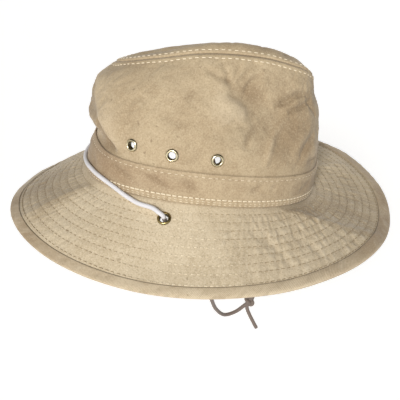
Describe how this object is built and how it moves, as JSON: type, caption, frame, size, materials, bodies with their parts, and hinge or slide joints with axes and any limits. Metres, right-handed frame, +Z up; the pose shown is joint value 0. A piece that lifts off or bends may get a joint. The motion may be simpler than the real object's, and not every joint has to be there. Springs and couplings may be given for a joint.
{
  "type": "safari hat",
  "caption": "Soft cotton safari hat with a pinched, creased crown, cloth band, quilted drooping brim with bound edge, side vents and a tied chin cord.",
  "frame": {"origin": "middle of the head opening, at the mean height of the seam between crown and brim; what holds the hat up sits here", "axes": "+X is the front of the hat, +Y the wearer's left, +Z up"},
  "size_m": [0.3331, 0.3083, 0.2797],
  "materials": {
    "crown_cotton": "waxed, softly creased khaki cotton",
    "band_cotton": "waxed khaki cotton, a little darker",
    "brim_cotton": "quilted khaki cotton with rows of stitching",
    "binding_tape": "twilled bias tape",
    "aged_brass": "dulled antique brass",
    "white_cord": "smooth round white cord",
    "taupe_cord": "matt taupe cord"
  },
  "bodies": {
    "root": {"crown_wall": "crown_cotton", "crown_tip": "crown_cotton", "hatband": "band_cotton", "brim": "brim_cotton", "brim_binding": "binding_tape", "vent_eyelet_right_1": "aged_brass", "vent_eyelet_right_2": "aged_brass", "vent_eyelet_right_3": "aged_brass", "vent_eyelet_left_1": "aged_brass", "vent_eyelet_left_2": "aged_brass", "vent_eyelet_left_3": "aged_brass", "cord_grommet_right": "aged_brass", "cord_grommet_left": "aged_brass", "cord_over_brim": "white_cord", "chin_cord_right": "taupe_cord", "chin_cord_left": "taupe_cord", "chin_cord_tail": "taupe_cord", "chin_knot": "taupe_cord"}
  },
  "joints": []
}
